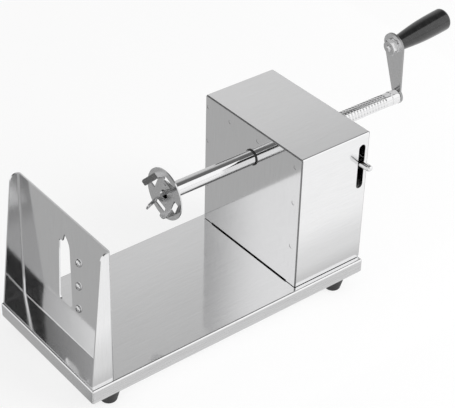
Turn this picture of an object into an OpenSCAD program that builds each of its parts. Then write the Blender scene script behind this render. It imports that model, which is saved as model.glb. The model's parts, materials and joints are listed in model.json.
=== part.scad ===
// Hand cranked spiral potato cutter in folded stainless sheet.
// Every piece is laid out from the tray: x from its front edge towards the crank,
// y from its near edge to the far one, z up from its top face.
// The finished model then stands on its feet, with the origin under the middle of its box.

/* [Base tray] */
// Length of the tray
base_l = 291; // [270:1:330]
// Width of the tray
base_w = 140; // [138:1:170]
// Depth of the tray's folded sides
base_h = 13; // [9:0.5:20]
// Thickness of the tray's sheet
base_sheet = 1.2; // [0.8:0.1:2]

/* [Feet] */
// Radius of a foot where it meets the tray
foot_r = 11.2; // [8:0.1:11.3]
// Radius of a foot where it meets the table
foot_tip_r = 7.2; // [6.5:0.1:9]
// How far the feet stand out below the tray
foot_drop = 16; // [6:0.5:20]
// Front feet, from the tray's front edge
foot_front = 23.8; // [14:0.1:40]
// Rear feet, from the tray's back edge
foot_back = 22.8; // [22.2:0.1:30]
// Feet, from the tray's long edges
foot_side = 12.8; // [12.7:0.1:30]

/* [Shaft line] */
// Shaft line, below the top of the housing
axis_drop = 30.7; // [25:0.1:43]
// Distance of the shaft from the tray's near edge
axis_y = 69.6; // [64:0.1:74]

/* [Blade bracket] */
// Face of the upright plate, from the tray's front edge
bracket_x = 22.4; // [18:0.1:30]
// Near side of the bracket, from the tray's near edge
bracket_near = 3; // [1:0.1:5]
// Far side of the bracket, from the tray's far edge
bracket_side = 1; // [1:0.1:5]
// Top of the plate, below the top of the housing
bracket_drop = 5.4; // [0:0.1:15]
// Thickness of the bracket's sheet
bracket_sheet = 1.5; // [1:0.1:2]
// Inner radius of its folds
bracket_bend = 1.5; // [1:0.1:3]
// Front edge of a gusset at its foot
gusset_foot_x = 2.1; // [0:0.1:6]
// Width of a gusset at the top
gusset_top = 7.5; // [6.5:0.1:12]
// Radius of a gusset's top corner
gusset_round = 6; // [2:0.1:7]

/* [Blade] */
// Line of the blade screws, from the tray's near edge
blade_screw_y = 49; // [46:0.1:51]
// Middle blade screw, below the shaft line
blade_screw_drop = 36.5; // [33:0.1:42]
// Distance between blade screws
blade_screw_step = 24.4; // [20:0.1:27]
// How far the line of screws leans from upright, in degrees
blade_lean = 3.9; // [0:0.1:6]
// Thickness of the blade
blade_t = 1.5; // [1:0.1:2]
// Gap between the cutting edge and the plate, which sets the slice
blade_gap = 3.5; // [2:0.1:5]

/* [Blade slot] */
// Near edge of the slot
slot_near = 60; // [58:0.1:62]
// Far edge of the slot near its top
slot_far_top = 75.6; // [73:0.1:78]
// Far edge of the slot near its bottom
slot_far_low = 79.6; // [76:0.1:82]
// Bottom of the slot, below the shaft line
slot_low_drop = 67.8; // [62:0.1:72]
// Flat top of the slot, below the shaft line
slot_top_drop = 3.8; // [2:0.1:7]
// Tip of the slot's hook, above the shaft line
slot_tip_rise = 4.7; // [2:0.1:7]

/* [Housing] */
// Length of the housing along the shaft
box_l = 76; // [70:0.5:80]
// Sides of the housing, from the tray's long edges
box_side = 5; // [4:0.1:8]
// Height of the housing
box_h = 133; // [130:0.5:150]
// Thickness of the housing's sheet
box_sheet = 1.2; // [0.8:0.1:1.6]
// Height of the slit under the front panel
slit_h = 1.4; // [1:0.1:5]

/* [Lever slot] */
// Middle of the slot, from the back of the housing
lever_back = 8; // [8:0.1:10]
// Width of the slot in the housing
lever_slot_w = 7.2; // [6.6:0.1:8]
// Lower end of the slot, below the shaft line
lever_slot_drop = 24.3; // [20:0.1:28]
// Upper end of the slot, above the shaft line
lever_slot_rise = 20.2; // [10:0.1:21]
// Radius of the release pin
pin_r = 3; // [2.5:0.1:3.2]
// Pin where it passes through the housing, above the shaft line
pin_above = 1; // [-2:0.1:2.5]
// How far the pin stands out of the housing
pin_out = 13; // [9:0.5:18]
// Rise of the pin towards its free end, in degrees
pin_rise = 5; // [0:0.5:8]
// How far the release lever swings down, in degrees
release_angle = 9.5; // [6:0.5:10]

/* [Shaft] */
// Radius of the smooth drive tube
tube_r = 6.65; // [6.65:0.05:7]
// Bore for the skewer
skewer_r = 4; // [3:0.1:4.5]
// Depth of the skewer's bore in the tube
skewer_l = 72; // [40:1:74]
// How far the threaded end stands out behind the housing
thread_out = 85.1; // [83.8:0.1:95]
// Crest radius of the feed thread
thread_r = 6.55; // [6.2:0.05:6.6]
// Depth of the feed thread
thread_depth = 0.9; // [0.6:0.05:1]
// Advance of the thread for one turn, which is also the slice
pitch = 3.5; // [3:0.1:4]
// Turns of the crank from the photographed place to the front stop
turns_forward = 21.75; // [10:0.25:21.75]
// Turns of the crank from the photographed place to the rear stop
turns_back = 15.5; // [5:0.25:15.5]
// Radial play of what turns in a bush
run_gap = 0.05; // [0.02:0.01:0.1]

/* [Potato disc] */
// How far the disc stands out in front of the housing
disc_out = 93; // [91:0.5:94]
// Radius of the disc
disc_r = 23.4; // [22:0.1:26]
// Thickness of the disc
disc_t = 1.2; // [1:0.1:1.6]
// Length of a prong
prong_l = 12.5; // [9:0.5:13.5]
// Width of a prong
prong_w = 5.6; // [4:0.1:6]
// Inner edge of a prong, from the middle of the disc
prong_r = 12.4; // [12.2:0.1:13.5]

/* [Crank] */
// Distance from the shaft to the grip's bolt
arm_l = 54; // [40:0.5:56]
// Thickness of the arm
arm_t = 2; // [1.6:0.1:4]
// Radius of the arm's end at the grip
arm_top_r = 12; // [10:0.1:13]
// Half of the arm's width where it meets the shaft
arm_low_w = 4.6; // [4:0.1:6]
// Lean of the arm towards the housing, in degrees
arm_lean = 7; // [0:0.5:8]
// Turn of the arm from upright, in degrees
arm_turn = 3.3; // [0:0.1:10]
// Length of the stop collar
collar_l = 9; // [6:0.1:10]
// Radius of the stop collar
collar_r = 6.8; // [6.7:0.1:8]
// Length of the grip
grip_l = 61; // [50:0.5:70]
// Radius of the grip at the arm
grip_r = 7; // [6.8:0.1:8]
// Radius of the grip at its fullest
grip_full_r = 10.6; // [9:0.1:12]

/* [Hidden] */

$fn = 64;
full_turn = 360;
// Facets round the thread
thread_sides = 12;
// How far a cut runs past the face that it leaves
over = 1;
// Gap between pieces that move past each other end to end
end_gap = 0.3;
// Gap between pieces that are screwed, pressed or pinned together
fit_gap = 0.02;

// Heights above the tray's top face
axis_z = box_h - axis_drop;
bracket_h = box_h - bracket_drop;
blade_screw_z = axis_z - blade_screw_drop;
slot_low = axis_z - slot_low_drop;
slot_top = axis_z - slot_top_drop;
slot_tip = axis_z + slot_tip_rise;
lever_slot_low = axis_z - lever_slot_drop;
lever_slot_top = axis_z + lever_slot_rise;
pin_z = axis_z + pin_above;

// Fasteners
small_screw_r = 2;
small_head_r = 3.6;
small_head_h = 2.4;
small_nut_r = 4.05;
small_nut_h = 3.2;
rivet_r = 1.6;
rivet_head_r = 3;
rivet_head_h = 1;
// Share of its radius that a domed head keeps at its crown
crown_share = 0.7;

// Feet
foot_len = base_h - base_sheet + foot_drop;
foot_bottom = -base_h - foot_drop;
foot_sink = 5;
foot_edge = 1.5;
foot_places = [[foot_front, foot_side], [foot_front, base_w - foot_side],
    [base_l - foot_back, foot_side], [base_l - foot_back, base_w - foot_side]];

// Bracket
bracket_back = bracket_x + bracket_sheet;
bracket_far = base_w - bracket_side;
bracket_w = bracket_far - bracket_near;
gusset_slope = (bracket_x - gusset_top - gusset_foot_x) / bracket_h;
gusset_lean_share = sqrt(1 + gusset_slope * gusset_slope);

// Slot in the plate: its corners, its step and its hook
slot_far_r = 3.5;
slot_low_r = 3;
slot_near_r = 5;
slot_step = 70.2;
slot_tip_y = 66.9;
slot_hook_y = 74.5;
slot_hook_drop = 4;
slot_hook_z = slot_top - slot_hook_drop;
slot_hook_r = 14.5;

// Blade: the clamped strip, the raised lip and its ground edge
blade_tail = 8;
blade_land = 6.5;
blade_bite = 5.5;
blade_near = blade_screw_y - blade_tail;
blade_flat = blade_screw_y + blade_land;
blade_lip = blade_flat + blade_gap;
blade_edge = slot_near + blade_bite;
blade_edge_t = 0.2;
blade_grind = 4;
blade_high = 31;

// Housing
box_back = base_l;
box_x = box_back - box_l;
box_near = box_side;
box_far = base_w - box_side;
box_w = box_far - box_near;
lever_x = box_back - lever_back;
cover_x = box_x + box_sheet;
cover_back = box_back - box_sheet;
panel_step = 0.9;
flange_w = 13;
cover_round = 1.6;
slit_side = 12;
weld_r = 1.9;
weld_depth = 0.25;
weld_top = 11;
weld_low = 46.5;
weld_side = 8.2;
// Shares of the welds' places across and up the front panel
weld_step_shares = [0.78, 1.75];
weld_rise_shares = [0.87, 1.85, 1.87];
housing_screw_side = 8;
housing_screw_gap = 13.4;
housing_screw_back = 7;
housing_screw_x = [base_l - foot_back - foot_r - small_head_r - housing_screw_gap,
    box_back - housing_screw_back];

// Bushes
bush_wall = 0.9;
bush_r = tube_r + bush_wall;
bush_lip = 0.4;
bush_lip_r = bush_r + bush_lip;
bush_lip_t = 1.4;
bush_l = 13;
bush_ring_r = 10.5;
bush_ring_l = 3.6;
rear_gap = 0.15;
rear_bore_r = thread_r + rear_gap;
rear_spigot_r = 8.2;
rear_flange_r = 13.5;
rear_flange_t = 3;
rear_nose_r = 9;
rear_screw_circle = 11;
rear_screw_r = 1.25;
rear_screw_head_r = 2;
rear_screw_head_h = 1.2;

// Shaft pieces, from the disc to the arm
disc_x = box_x - disc_out;
tube_x = disc_x + disc_t;
tube_in = 3;
tube_end = box_x + tube_in;
tube_l = tube_end - tube_x;
hub_r = 10.8;
hub_l = 3;
disc_rivet_place = 8.3;
disc_rivet_r = 1.4;
disc_rivet_head_r = 2.4;
disc_rivet_head_h = 0.5;
thread_root = thread_r - thread_depth;
thread_end = box_back + thread_out;
thread_lead = 2;
dowel_step = 0.5;
dowel_room = 4.8;
dowel_seat_r = skewer_r + dowel_step;
dowel_r = dowel_seat_r - fit_gap;
dowel_l = tube_l - skewer_l - dowel_room;
journal_r = 3.2;
tube_pin_r = 1.25;
tube_pin_x = tube_end - dowel_l / 2;
collar_x = thread_end + end_gap;
arm_x = collar_x + collar_l + end_gap;
peen_r = 4.2;
arm_rim = 0.4;
arm_hub_r = collar_r + arm_rim;
peen_t = 1.1;
turn_segments = floor((thread_end - tube_end - thread_lead * 2) / pitch) - 1;
thread_start = tube_end + thread_lead;
// Shares of one pitch: end of the root flat, start and end of the crest
thread_shares = [0, 0.25, 0.45, 0.8];
thread_play_r = 0.35;
thread_play_x = 0.2;

// The rear bush reaches back to where it stops the collar
rear_bush_end = collar_x - turns_forward * pitch - end_gap;

// Disc
prong_angles = [23, 113, 203, 290];
prong_leans = [-18, -5, -9, -19];
// Root of a prong, along its window from the window's middle line
prong_root = 6.3;
prong_chamfer = 1.4;

// Release lever: a bar that passes under the shaft and rises to the pin
lever_t = 3;
bar_drop = 12.3;
bar_h = 10;
bar_top = axis_z - bar_drop;
bar_low = bar_top - bar_h;
pivot_in = 13;
pivot_y = box_far - pivot_in;
pivot_z = bar_top - bar_h / 2;
pivot_r = 2.5;
pivot_boss_r = 6.5;
tang_h = 4;
tang_in = 8;
tang_l = 17;
tang_near = box_near + tang_in;
tang_far = tang_near + tang_l;
// Steps from the tang to the corners of the rise behind it
riser_low_step = 10;
riser_top_step = 22;
riser_back_step = 8;
riser_h = 10.5;
riser_low_y = tang_far + riser_low_step;
riser_top_y = tang_far + riser_top_step;
riser_back_y = tang_far + riser_back_step;
riser_back_z = bar_top + riser_h;
seat_w = 11;
seat_t = 2;
seat_in = 2;
spring_y = riser_low_y + seat_in;
nut_l = 11;
nut_w = 18;
nut_sink = 6;
nut_below = 3.5;
nut_x = lever_x - nut_l / 2;
nut_low = bar_top - nut_sink;
nut_top = axis_z - nut_below;
nut_screw_z = bar_top - nut_sink / 2;
nut_screw_r = 1.5;
nut_screw_head_r = 2.7;
nut_screw_head_h = 1.8;
pin_in = 20;
pin_slot_in = 6;
pin_slot_end = box_near + pin_slot_in;
pin_rivet_in = 5;
pin_rivet_y = tang_near + pin_rivet_in;
pin_rivet_r = 1.2;

// Clevis that carries the lever, and the shelf that carries its spring
ear_t = 1.5;
ear_h = 16;
ear_before = 6.5;
ear_behind = 3;
ear_reach = 7;
ear_front = lever_x - ear_before;
ear_back = lever_x + ear_behind;
ear_near = pivot_y - ear_reach;
ear_low = pivot_z - ear_h / 2;
clevis_l = 14.2;
clevis_before = 9;
clevis_x = lever_x - clevis_before;
clip_r = 4.2;
clip_t = 0.8;
clevis_rivet_rise = 5;
clevis_rivet_before = 0.7;
clevis_rivet_x = lever_x - clevis_rivet_before;
shelf_drop = 30;
shelf_z = bar_low - shelf_drop;
shelf_t = 1.5;
shelf_w = 18;
shelf_leg = 16;
shelf_before = 6.5;
shelf_x = lever_x - shelf_before;
post_r = 2.6;
post_h = 12;
spring_wire = 0.6;
spring_r = 4;
spring_turns = 7;
spring_rings = 8;
spring_sides = 6;

// Grip and its bolt
grip_gap = 0.4;
grip_round = 3.5;
bolt_r = 3;
grip_bore_r = bolt_r + run_gap;
bolt_head_r = 5;
bolt_head_h = 3.5;
grip_sink = 5;
grip_sink_r = 5.6;
washer_r = 7.4;
washer_t = 1.2;
grip_nut_r = 7.5;
grip_nut_h = 4.6;
bolt_past = 0.8;
bolt_dome = 1;
// Shares of the grip's length and of its swelling
grip_length_shares = [0, 0.08, 0.2, 0.35, 0.5, 0.65, 0.8, 0.9];
grip_swell_shares = [0, 0.1, 0.34, 0.64, 0.85, 0.96, 1, 1];

// The middle of the whole model's box, which the origin lies under
grip_far = arm_t / 2 + grip_gap + grip_l;
grip_reach = arm_x + arm_t / 2 - arm_l * sin(arm_lean)
    + (grip_far - grip_round) * cos(arm_lean)
    + (grip_full_r - grip_round) * sin(arm_lean) + grip_round;
pin_end_y = box_near - pin_out;
middle_x = grip_reach / 2;
middle_y = (base_w + pin_end_y) / 2;

module in_place() {
    translate([-middle_x, -middle_y, -foot_bottom]) children();
}

// A flat outline in y and z, carried along x
module along_x(from, length) {
    translate([from, 0, 0]) rotate([90, 0, 90]) linear_extrude(length) children();
}

// A flat outline in x and z, carried along y
module along_y(from, length) {
    translate([0, from + length, 0]) rotate([90, 0, 0]) linear_extrude(length) children();
}

// A round bar along x, at a place in y and z
module bar_x(from, length, r, y = axis_y, z = axis_z) {
    translate([from, y, z]) rotate([0, 90, 0]) cylinder(h = length, r = r);
}

// A hexagon along z
module hex(r, h) {
    cylinder(h = h, r = r, $fn = 6);
}

// A rectangle with round corners, from one corner to the other
module round_rect(low, high, r) {
    translate([low[0] + r, low[1]]) square([high[0] - low[0] - r * 2, high[1] - low[1]]);
    translate([low[0], low[1] + r]) square([high[0] - low[0], high[1] - low[1] - r * 2]);
    for (x = [low[0] + r, high[0] - r], y = [low[1] + r, high[1] - r])
        translate([x, y]) circle(r);
}

module at_feet() {
    for (place = foot_places) translate(place) children();
}

module base_tray() {
    color("gainsboro") in_place() difference() {
        translate([0, 0, -base_h]) cube([base_l, base_w, base_h]);
        translate([base_sheet, base_sheet, -base_h - over])
            cube([base_l - base_sheet * 2, base_w - base_sheet * 2, base_h - base_sheet + over]);
        at_housing_screws() translate([0, 0, -base_sheet - over])
            cylinder(h = base_sheet + over * 2, r = small_screw_r + fit_gap);
    }
}

module rubber_feet() {
    color("#1c1c1c") in_place() at_feet() difference() {
        rotate_extrude() polygon([[0, foot_bottom], [foot_tip_r - foot_edge, foot_bottom],
            [foot_tip_r, foot_bottom + foot_edge], [foot_r, -base_h], [foot_r, -base_sheet],
            [0, -base_sheet]]);
        translate([0, 0, foot_bottom - over]) cylinder(h = foot_len + over * 2, r = small_screw_r + fit_gap);
        translate([0, 0, foot_bottom - over]) cylinder(h = foot_sink + over, r = small_head_r + end_gap);
        translate([0, 0, -base_sheet - small_nut_h - fit_gap])
            cylinder(h = small_nut_h + over, r = small_nut_r + end_gap);
    }
}

module foot_screws() {
    head_z = foot_bottom + foot_sink - small_head_h;
    color("silver") in_place() at_feet() {
        translate([0, 0, head_z]) difference() {
            cylinder(h = small_head_h, r = small_head_r);
            translate([0, 0, -over]) hex(small_screw_r, over + small_head_h / 2);
        }
        translate([0, 0, head_z + small_head_h])
            cylinder(h = -base_sheet - end_gap - head_z - small_head_h, r = small_screw_r);
    }
}

module foot_nuts() {
    color("silver") in_place() at_feet() translate([0, 0, -base_sheet - small_nut_h]) difference() {
        hex(small_nut_r, small_nut_h);
        translate([0, 0, -over]) cylinder(h = small_nut_h + over * 2, r = small_screw_r + fit_gap);
    }
}

// Outline of a gusset seen from the near side
module gusset_outline() {
    top_z = bracket_h - gusset_round;
    corner_x = gusset_foot_x + gusset_slope * top_z + gusset_round * gusset_lean_share;
    polygon([[bracket_back, 0], [gusset_foot_x, 0],
        [corner_x - gusset_round / gusset_lean_share, top_z + gusset_round * gusset_slope / gusset_lean_share],
        [corner_x, top_z], [corner_x, bracket_h], [bracket_back, bracket_h]]);
    translate([corner_x, top_z]) circle(gusset_round);
}

// Opening that lets the slice through the plate, in y and z
module slot_outline() {
    far_low = [slot_far_low, slot_low + slot_low_r];
    far_top = [slot_far_top, slot_top - slot_far_r];
    hook = [slot_hook_y, slot_hook_z];
    start_angle = atan2(slot_tip - slot_hook_z, slot_tip_y - slot_hook_y);
    end_angle = 170;
    polygon(concat(
        [[slot_near + slot_near_r, slot_low], [slot_far_low - slot_low_r, slot_low]],
        [for (a = [-75 : 15 : 0]) far_low + slot_low_r * [cos(a) - 1, sin(a)]],
        [for (a = [0 : 15 : 90]) far_top + slot_far_r * [cos(a) - 1, sin(a)]],
        [[slot_step, slot_top], [slot_tip_y, slot_tip]],
        [for (a = [start_angle + 6 : 6 : end_angle]) hook + slot_hook_r * [cos(a), sin(a)]],
        [[slot_near, slot_hook_z]],
        [for (a = [180 : 15 : 255])
            [slot_near + slot_near_r, slot_low + slot_near_r] + slot_near_r * [cos(a), sin(a)]]));
}

// The blade and its screws share one lean about the middle screw
module at_blade() {
    translate([0, blade_screw_y, blade_screw_z]) rotate([blade_lean, 0, 0])
        translate([0, -blade_screw_y, -blade_screw_z]) children();
}

module at_blade_screws() {
    at_blade() for (i = [-1 : 1])
        translate([0, blade_screw_y, blade_screw_z + i * blade_screw_step]) rotate([0, 90, 0]) children();
}

module blade_bracket() {
    color("silver") in_place() difference() {
        union() {
            intersection() {
                linear_extrude(bracket_h) difference() {
                    round_rect([-bracket_w, bracket_near], [bracket_back, bracket_far],
                        bracket_bend + bracket_sheet);
                    round_rect([-bracket_w - over, bracket_near + bracket_sheet],
                        [bracket_x, bracket_far - bracket_sheet], bracket_bend);
                }
                along_y(bracket_near, bracket_w) gusset_outline();
            }
            translate([gusset_foot_x, bracket_near + bracket_sheet, 0])
                cube([bracket_x - gusset_foot_x, bracket_w - bracket_sheet * 2, bracket_sheet]);
        }
        along_x(bracket_x - over, bracket_sheet + over * 2) slot_outline();
        at_blade_screws() translate([0, 0, bracket_x - over])
            cylinder(h = bracket_sheet + over * 2, r = small_screw_r + fit_gap);
    }
}

module slicing_blade() {
    color("whitesmoke") in_place() difference() {
        at_blade() translate([0, 0, blade_screw_z - blade_high]) linear_extrude(blade_high * 2)
            polygon([[bracket_back, blade_near], [bracket_back + blade_t, blade_near],
                [bracket_back + blade_t, blade_flat], [bracket_back + blade_gap, blade_lip],
                [bracket_back + blade_gap, blade_edge],
                [bracket_back + blade_gap - blade_edge_t, blade_edge],
                [bracket_back + blade_gap - blade_t, blade_edge - blade_grind],
                [bracket_back + blade_gap - blade_t, blade_lip + blade_t / 2],
                [bracket_back, blade_flat + blade_t / 2]]);
        at_blade_screws() translate([0, 0, bracket_back - over])
            cylinder(h = blade_t + over * 2, r = small_screw_r + fit_gap);
    }
}

module blade_screws() {
    color("silver") in_place() at_blade_screws() {
        translate([0, 0, bracket_x - small_head_h]) difference() {
            union() {
                translate([0, 0, small_head_h / 2]) cylinder(h = small_head_h / 2, r = small_head_r);
                cylinder(h = small_head_h / 2, r1 = small_head_r * crown_share, r2 = small_head_r);
            }
            for (a = [0, 90]) rotate(a) cube([small_head_r, small_screw_r / 3, small_head_h], center = true);
        }
        translate([0, 0, bracket_x])
            cylinder(h = bracket_sheet + blade_t + small_nut_h + end_gap, r = small_screw_r);
    }
}

module blade_nuts() {
    color("silver") in_place() at_blade_screws() translate([0, 0, bracket_back + blade_t]) difference() {
        hex(small_nut_r, small_nut_h);
        translate([0, 0, -over]) cylinder(h = small_nut_h + over * 2, r = small_screw_r + fit_gap);
    }
}

// Outside of the folded cover, in y and z
module cover_outline(inset) {
    low = [box_near + inset, -box_h];
    high = [box_far - inset, box_h - inset];
    intersection() {
        round_rect(low, high, cover_round - inset / 2);
        translate([box_near, 0]) square([box_w, box_h]);
    }
}

// The frame of flanges that a panel is welded to
module cover_flange(from) {
    along_x(from, box_sheet) difference() {
        cover_outline(box_sheet / 2);
        translate([box_near + flange_w, -over]) square([box_w - flange_w * 2, box_h - flange_w + over]);
    }
}

module housing_cover() {
    slot_end = lever_slot_w / 2;
    color("gainsboro") in_place() difference() {
        union() {
            along_x(cover_x, cover_back - cover_x) difference() {
                cover_outline(0);
                cover_outline(box_sheet);
            }
            cover_flange(cover_x);
            cover_flange(cover_back - box_sheet);
            for (y = [box_near + box_sheet / 2, box_far - flange_w])
                translate([cover_x, y, 0]) cube([cover_back - cover_x, flange_w - box_sheet / 2, box_sheet]);
        }
        along_y(box_near - over, box_sheet + over * 2) {
            translate([lever_x - slot_end, lever_slot_low + slot_end])
                square([lever_slot_w, lever_slot_top - lever_slot_low - lever_slot_w]);
            for (z = [lever_slot_low + slot_end, lever_slot_top - slot_end])
                translate([lever_x, z]) circle(slot_end);
        }
        at_housing_screws() translate([0, 0, -over])
            cylinder(h = box_sheet + over * 2, r = small_screw_r + fit_gap);
        for (z = [-clevis_rivet_rise, clevis_rivet_rise])
            translate([clevis_rivet_x, box_far + over, pivot_z + z]) rotate([90, 0, 0])
                cylinder(h = box_sheet + over * 2, r = rivet_r + fit_gap);
    }
}

// Outline that the front and the back panel share, in y and z
module panel_outline() {
    translate([box_near + panel_step, 0])
        square([box_w - panel_step * 2, box_h - panel_step]);
}

module housing_front_panel() {
    top = box_h - weld_top;
    near = box_near + weld_side;
    far = box_far - weld_side / 2;
    span = (far - near) / 3;
    heights = weld_low * weld_rise_shares;
    welds = concat([for (side = weld_step_shares) [far - span * side, top]],
        [[far, top], [near, top], [far, heights[2]], [near, heights[1]], [near, heights[0]], [far, heights[0]]]);
    color("lightgray") in_place() difference() {
        along_x(box_x, box_sheet) difference() {
            panel_outline();
            translate([axis_y, axis_z]) circle(bush_r + fit_gap);
            translate([box_near + slit_side, -over]) square([box_w - slit_side * 2, slit_h + over]);
        }
        for (place = welds) bar_x(box_x - over, over + weld_depth, weld_r, place[0], place[1]);
    }
}

module housing_back_panel() {
    color("lightgray") in_place() along_x(cover_back, box_sheet) difference() {
        panel_outline();
        translate([axis_y, axis_z]) circle(rear_spigot_r + fit_gap);
        at_rear_screws() circle(rear_screw_r + fit_gap);
        for (side = [-1, 1]) translate([spring_y + side * shelf_w / 4, shelf_z - shelf_leg / 2])
            circle(rivet_r + fit_gap);
    }
}

module at_housing_screws() {
    for (x = housing_screw_x, y = [box_near + housing_screw_side, box_far - housing_screw_side])
        translate([x, y, 0]) children();
}

module housing_screws() {
    color("silver") in_place() at_housing_screws() translate([0, 0, -base_sheet - small_head_h]) {
        difference() {
            cylinder(h = small_head_h, r = small_head_r);
            translate([0, 0, -over]) hex(small_screw_r, over + small_head_h / 2);
        }
        cylinder(h = small_head_h + base_sheet + box_sheet + small_nut_h + end_gap, r = small_screw_r);
    }
}

module housing_nuts() {
    color("silver") in_place() at_housing_screws() translate([0, 0, box_sheet]) difference() {
        hex(small_nut_r, small_nut_h);
        translate([0, 0, -over]) cylinder(h = small_nut_h + over * 2, r = small_screw_r + fit_gap);
    }
}

module front_bush() {
    color("#202020") in_place() difference() {
        union() {
            bar_x(box_x - bush_lip_t, bush_lip_t, bush_lip_r);
            bar_x(box_x, bush_l, bush_r);
        }
        bar_x(box_x - bush_lip_t - over, bush_lip_t + bush_l + over * 2, tube_r + run_gap);
    }
}

module front_bush_ring() {
    color("#303030") in_place() difference() {
        bar_x(cover_x, bush_ring_l, bush_ring_r);
        bar_x(cover_x - over, bush_ring_l + over * 2, bush_r + fit_gap);
    }
}

module at_rear_screws() {
    for (a = [90, 210, 330]) translate([axis_y, axis_z]) rotate(a)
        translate([rear_screw_circle, 0]) children();
}

module rear_bush() {
    color("#202020") in_place() difference() {
        union() {
            bar_x(cover_back, box_sheet, rear_spigot_r);
            bar_x(box_back, rear_flange_t, rear_flange_r);
            bar_x(box_back, rear_bush_end - box_back, rear_nose_r);
        }
        bar_x(cover_back - over, rear_bush_end - cover_back + over * 2, rear_bore_r);
        along_x(box_back - over, rear_flange_t + over * 2) at_rear_screws() circle(rear_screw_r + fit_gap);
    }
}

module rear_bush_screws() {
    color("silver") in_place() {
        along_x(cover_back, box_sheet + rear_flange_t) at_rear_screws() circle(rear_screw_r);
        along_x(box_back + rear_flange_t, rear_screw_head_h) at_rear_screws() circle(rear_screw_head_r);
    }
}

module lever_bracket() {
    wall_y = box_far - box_sheet;
    color("silver") in_place() difference() {
        union() {
            translate([clevis_x, wall_y - ear_t, ear_low]) cube([clevis_l, ear_t, ear_h]);
            for (x = [ear_front, ear_back])
                translate([x, ear_near, ear_low]) cube([ear_t, wall_y - ear_near, ear_h]);
        }
        bar_x(ear_front - over, ear_back - ear_front + ear_t + over * 2, pivot_r + fit_gap, pivot_y, pivot_z);
        for (z = [-clevis_rivet_rise, clevis_rivet_rise])
            translate([clevis_rivet_x, wall_y + over, pivot_z + z]) rotate([90, 0, 0])
                cylinder(h = ear_t + over * 2, r = rivet_r + fit_gap);
    }
}

module lever_pivot_pin() {
    head_x = ear_front - clip_t * 2;
    color("silver") in_place() {
        bar_x(head_x, clip_t * 2, clip_r, pivot_y, pivot_z);
        bar_x(ear_front, ear_back + ear_t + clip_t - ear_front, pivot_r, pivot_y, pivot_z);
    }
}

module lever_pivot_clip() {
    color("dimgray") in_place() difference() {
        bar_x(ear_back + ear_t, clip_t, clip_r, pivot_y, pivot_z);
        bar_x(ear_back + ear_t - over, clip_t + over * 2, pivot_r + fit_gap, pivot_y, pivot_z);
        translate([ear_back + ear_t - over, pivot_y - clip_t, pivot_z])
            cube([clip_t + over * 2, clip_t * 2, clip_r + over]);
    }
}

module spring_shelf() {
    leg_x = cover_back - shelf_t;
    color("silver") in_place() difference() {
        union() {
            translate([shelf_x, spring_y - shelf_w / 2, shelf_z - shelf_t])
                cube([cover_back - shelf_x, shelf_w, shelf_t]);
            translate([leg_x, spring_y - shelf_w / 2, shelf_z - shelf_leg]) cube([shelf_t, shelf_w, shelf_leg]);
            translate([lever_x, spring_y, shelf_z - shelf_t / 2]) cylinder(h = post_h + shelf_t / 2, r = post_r);
        }
        for (side = [-1, 1])
            bar_x(leg_x - over, shelf_t + over * 2, rivet_r + fit_gap,
                spring_y + side * shelf_w / 4, shelf_z - shelf_leg / 2);
    }
}

// A rivet along x through a stack of sheets, with a head at each end
module rivet(grip) {
    cylinder(h = grip, r = rivet_r);
    translate([0, 0, -rivet_head_h]) cylinder(h = rivet_head_h, r = rivet_head_r);
    translate([0, 0, grip]) cylinder(h = rivet_head_h, r1 = rivet_head_r, r2 = rivet_head_r * crown_share);
}

module bracket_rivets() {
    color("silver") in_place() {
        for (side = [-1, 1])
            translate([cover_back - shelf_t, spring_y + side * shelf_w / 4, shelf_z - shelf_leg / 2])
                rotate([0, 90, 0]) rivet(shelf_t + box_sheet);
        for (z = [-clevis_rivet_rise, clevis_rivet_rise])
            translate([clevis_rivet_x, box_far - box_sheet - ear_t, pivot_z + z])
                rotate([-90, 0, 0]) rivet(ear_t + box_sheet);
    }
}

// A wire tube that winds up along z
spring_low = shelf_z + spring_wire + fit_gap;
spring_high = bar_low - seat_t - spring_wire - fit_gap;
function coil_point(t) = [spring_r * cos(t), spring_r * sin(t),
    spring_low + (spring_high - spring_low) * t / (full_turn * spring_turns)];
function coil_ring(t) = let (
    middle = coil_point(t), rise = (spring_high - spring_low) / spring_turns,
    pull = atan2(rise, 2 * PI * spring_r), out = [cos(t), sin(t), 0],
    up = [sin(t) * sin(pull), -cos(t) * sin(pull), cos(pull)])
    [for (s = [0 : spring_sides - 1]) let (a = full_turn * s / spring_sides)
        middle + spring_wire * (cos(a) * out + sin(a) * up)];
coil_rings = [for (i = [0 : spring_turns * spring_rings]) coil_ring(full_turn * i / spring_rings)];
// Least gap between one turn of the spring and the next, measured on its points
coil_gap = min([for (i = [0 : spring_rings], p = coil_rings[i], q = coil_rings[i + spring_rings]) norm(p - q)]);
echo(spring_gap_mm = coil_gap);

module lever_spring() {
    rings = len(coil_rings);
    sides = spring_sides;
    color("lightsteelblue") in_place() translate([lever_x, spring_y, 0]) polyhedron(
        points = [for (ring = coil_rings, p = ring) p],
        faces = concat(
            [[for (s = [0 : sides - 1]) s]],
            [[for (s = [0 : sides - 1]) rings * sides - 1 - s]],
            [for (i = [0 : rings - 2], s = [0 : sides - 1]) let (t = (s + 1) % sides)
                [i * sides + s, (i + 1) * sides + s, (i + 1) * sides + t]],
            [for (i = [0 : rings - 2], s = [0 : sides - 1]) let (t = (s + 1) % sides)
                [i * sides + s, (i + 1) * sides + t, i * sides + t]]));
}

// Height of the pin's middle line at a distance from the tray's near edge
function pin_height(y) = pin_z - (y - box_near) * tan(pin_rise);

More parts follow.
